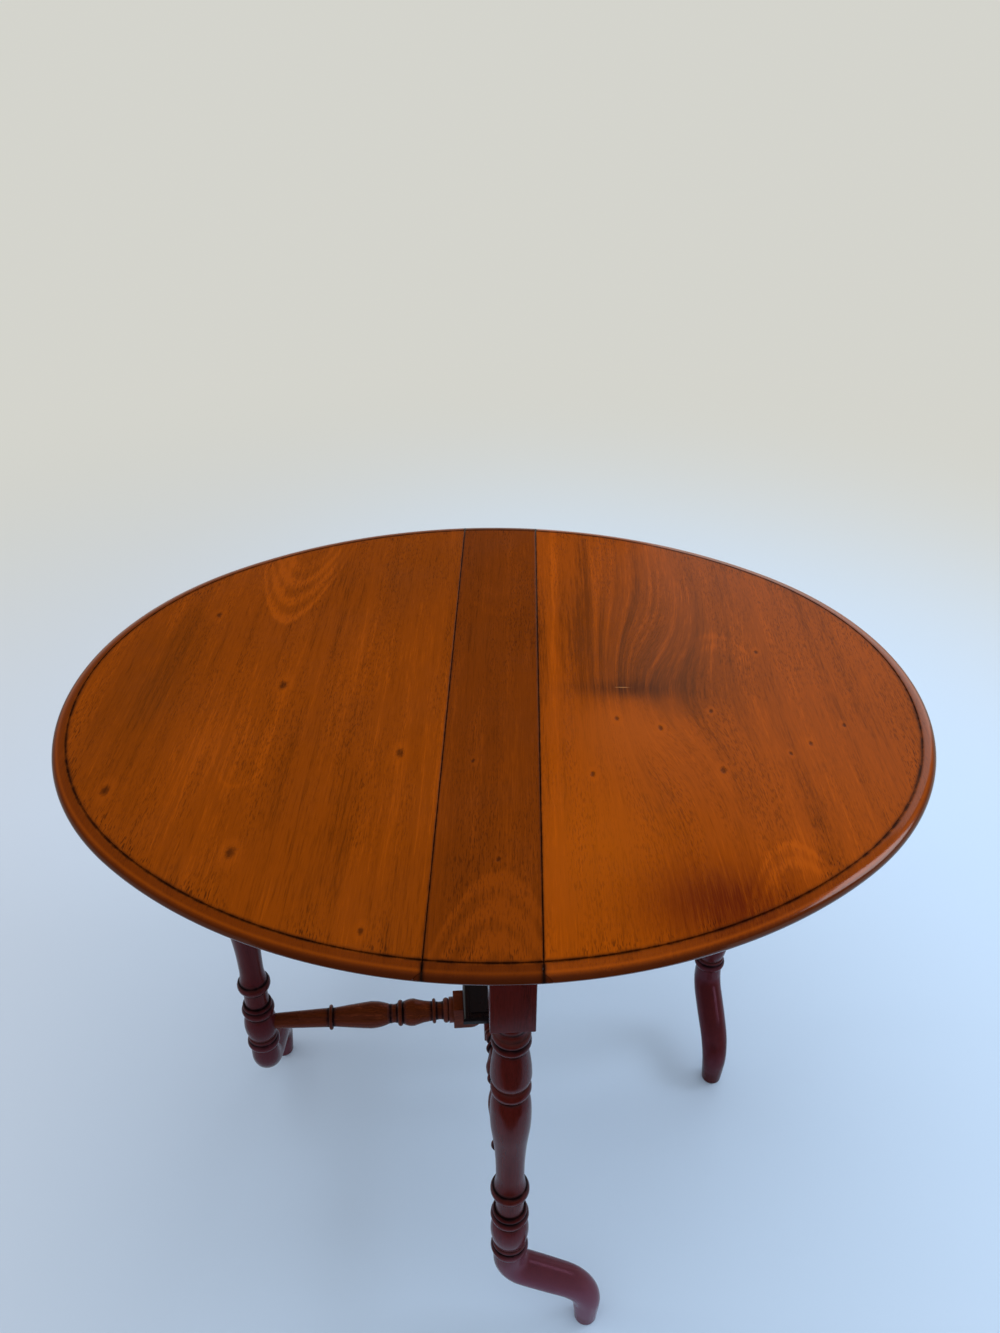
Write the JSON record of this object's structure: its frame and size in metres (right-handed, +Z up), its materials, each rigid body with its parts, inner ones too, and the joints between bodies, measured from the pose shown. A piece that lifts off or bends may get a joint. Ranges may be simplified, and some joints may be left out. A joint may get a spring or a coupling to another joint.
{
  "type": "sutherland table",
  "caption": "Oval folding table: narrow centre board on a fixed turned frame, half-oval leaves on rule joints, and turned gates that swing out to carry them.",
  "frame": {"origin": "on the floor, below the centre of the oval top", "axes": "+Z up, +X along the top's long axis from the left leaf to the right leaf, +Y along the centre board from front to back"},
  "size_m": [0.99, 0.852, 0.683],
  "materials": {
    "top_mahogany": "polished figured mahogany, warm orange brown",
    "turned_mahogany": "dark red polished mahogany with grime in the turned quirks",
    "rail_mahogany": "plain oiled mahogany under the top",
    "hinge_iron": "dull browned iron",
    "pivot_iron": "worn bright iron",
    "screw_steel": "aged steel"
  },
  "bodies": {
    "fixed_frame": {"centre_board": "top_mahogany", "front_leg": "turned_mahogany", "back_leg": "turned_mahogany", "front_foot": "turned_mahogany", "back_foot": "turned_mahogany", "top_bearer": "rail_mahogany", "stretcher": "turned_mahogany", "platform": "turned_mahogany", "left_pivot_block": "rail_mahogany", "right_pivot_block": "rail_mahogany", "bearer_screws": "screw_steel", "platform_screws": "screw_steel", "pivot_block_screws": "screw_steel", "board_flap_screws": "screw_steel", "left_front_board_flap": "hinge_iron", "left_front_hinge_pin": "hinge_iron", "left_back_board_flap": "hinge_iron", "left_back_hinge_pin": "hinge_iron", "right_front_board_flap": "hinge_iron", "right_front_hinge_pin": "hinge_iron", "right_back_board_flap": "hinge_iron", "right_back_hinge_pin": "hinge_iron"},
    "left_gate": {"left_gate_leg": "turned_mahogany", "left_gate_foot": "turned_mahogany", "left_gate_stretcher": "turned_mahogany", "left_gate_rail": "rail_mahogany", "left_upper_pin": "pivot_iron", "left_lower_pin": "pivot_iron"},
    "right_gate": {"right_gate_leg": "turned_mahogany", "right_gate_foot": "turned_mahogany", "right_gate_stretcher": "turned_mahogany", "right_gate_rail": "rail_mahogany", "right_upper_pin": "pivot_iron", "right_lower_pin": "pivot_iron"},
    "left_leaf": {"left_leaf": "top_mahogany", "left_front_leaf_flap": "hinge_iron", "left_back_leaf_flap": "hinge_iron", "left_leaf_flap_screws": "screw_steel", "left_gate_stop": "rail_mahogany", "left_stop_screws": "screw_steel"},
    "right_leaf": {"right_leaf": "top_mahogany", "right_front_leaf_flap": "hinge_iron", "right_back_leaf_flap": "hinge_iron", "right_leaf_flap_screws": "screw_steel", "right_gate_stop": "rail_mahogany", "right_stop_screws": "screw_steel"}
  },
  "joints": [
    {"name": "left_gate_swing", "type": "hinge", "parent": "fixed_frame", "child": "left_gate", "pos_m": [-0.033, -0.04842, 0.4], "axis": [0, 0, 1], "range_deg": [0, 86.26]},
    {"name": "right_gate_swing", "type": "hinge", "parent": "fixed_frame", "child": "right_gate", "pos_m": [0.033, 0.04842, 0.4], "axis": [0, 0, 1], "range_deg": [0, 86.26]},
    {"name": "left_leaf_lift", "type": "hinge", "parent": "fixed_frame", "child": "left_leaf", "pos_m": [-0.0515, 0, 0.671], "axis": [0, 1, 0], "range_deg": [0, 3.5]},
    {"name": "right_leaf_lift", "type": "hinge", "parent": "fixed_frame", "child": "right_leaf", "pos_m": [0.0515, 0, 0.671], "axis": [0, -1, 0], "range_deg": [0, 3.5]}
  ]
}
